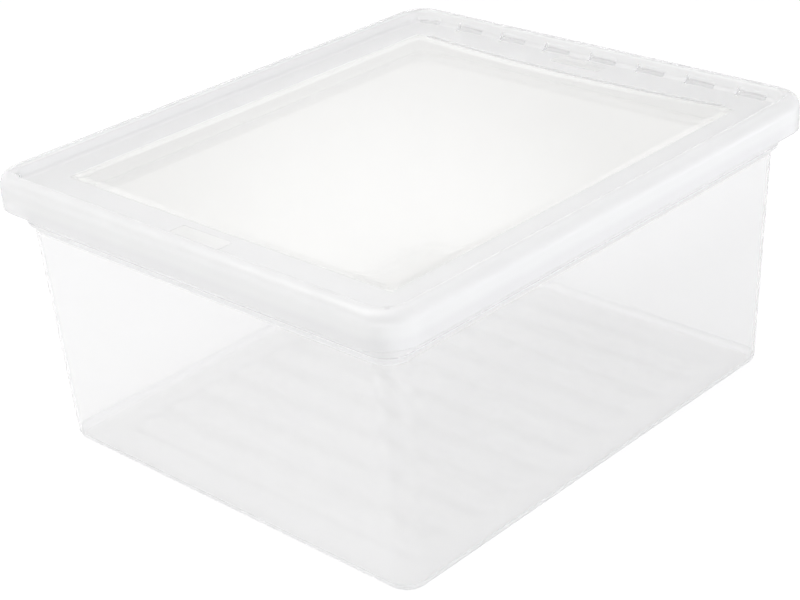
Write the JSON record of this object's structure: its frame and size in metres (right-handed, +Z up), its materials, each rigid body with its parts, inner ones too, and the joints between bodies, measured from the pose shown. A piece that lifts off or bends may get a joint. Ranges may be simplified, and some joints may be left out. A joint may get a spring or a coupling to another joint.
{
  "type": "storage box",
  "caption": "Clear plastic storage box: a tapered tub with a ribbed floor and stepped collar, closed by a lift-off lid with a raised stacking rim.",
  "frame": {"origin": "middle of the tub's underside, on the surface that the box stands on", "axes": "+Z up, the way the lid lifts; +Y along the long sides; +X along the short sides"},
  "size_m": [0.384, 0.45, 0.213],
  "materials": {
    "tub_plastic": "clear polypropylene with a faint haze, glossy as moulded",
    "lid_plastic": "clear polypropylene with a faint haze, glossy panel and satin rim"
  },
  "bodies": {
    "tub": {"tub": "tub_plastic"},
    "lid": {"lid": "lid_plastic"}
  },
  "joints": [
    {"name": "lid_lift", "type": "slide", "parent": "tub", "child": "lid", "axis": [0, 0, 1], "range_m": [0, 0.23]}
  ]
}
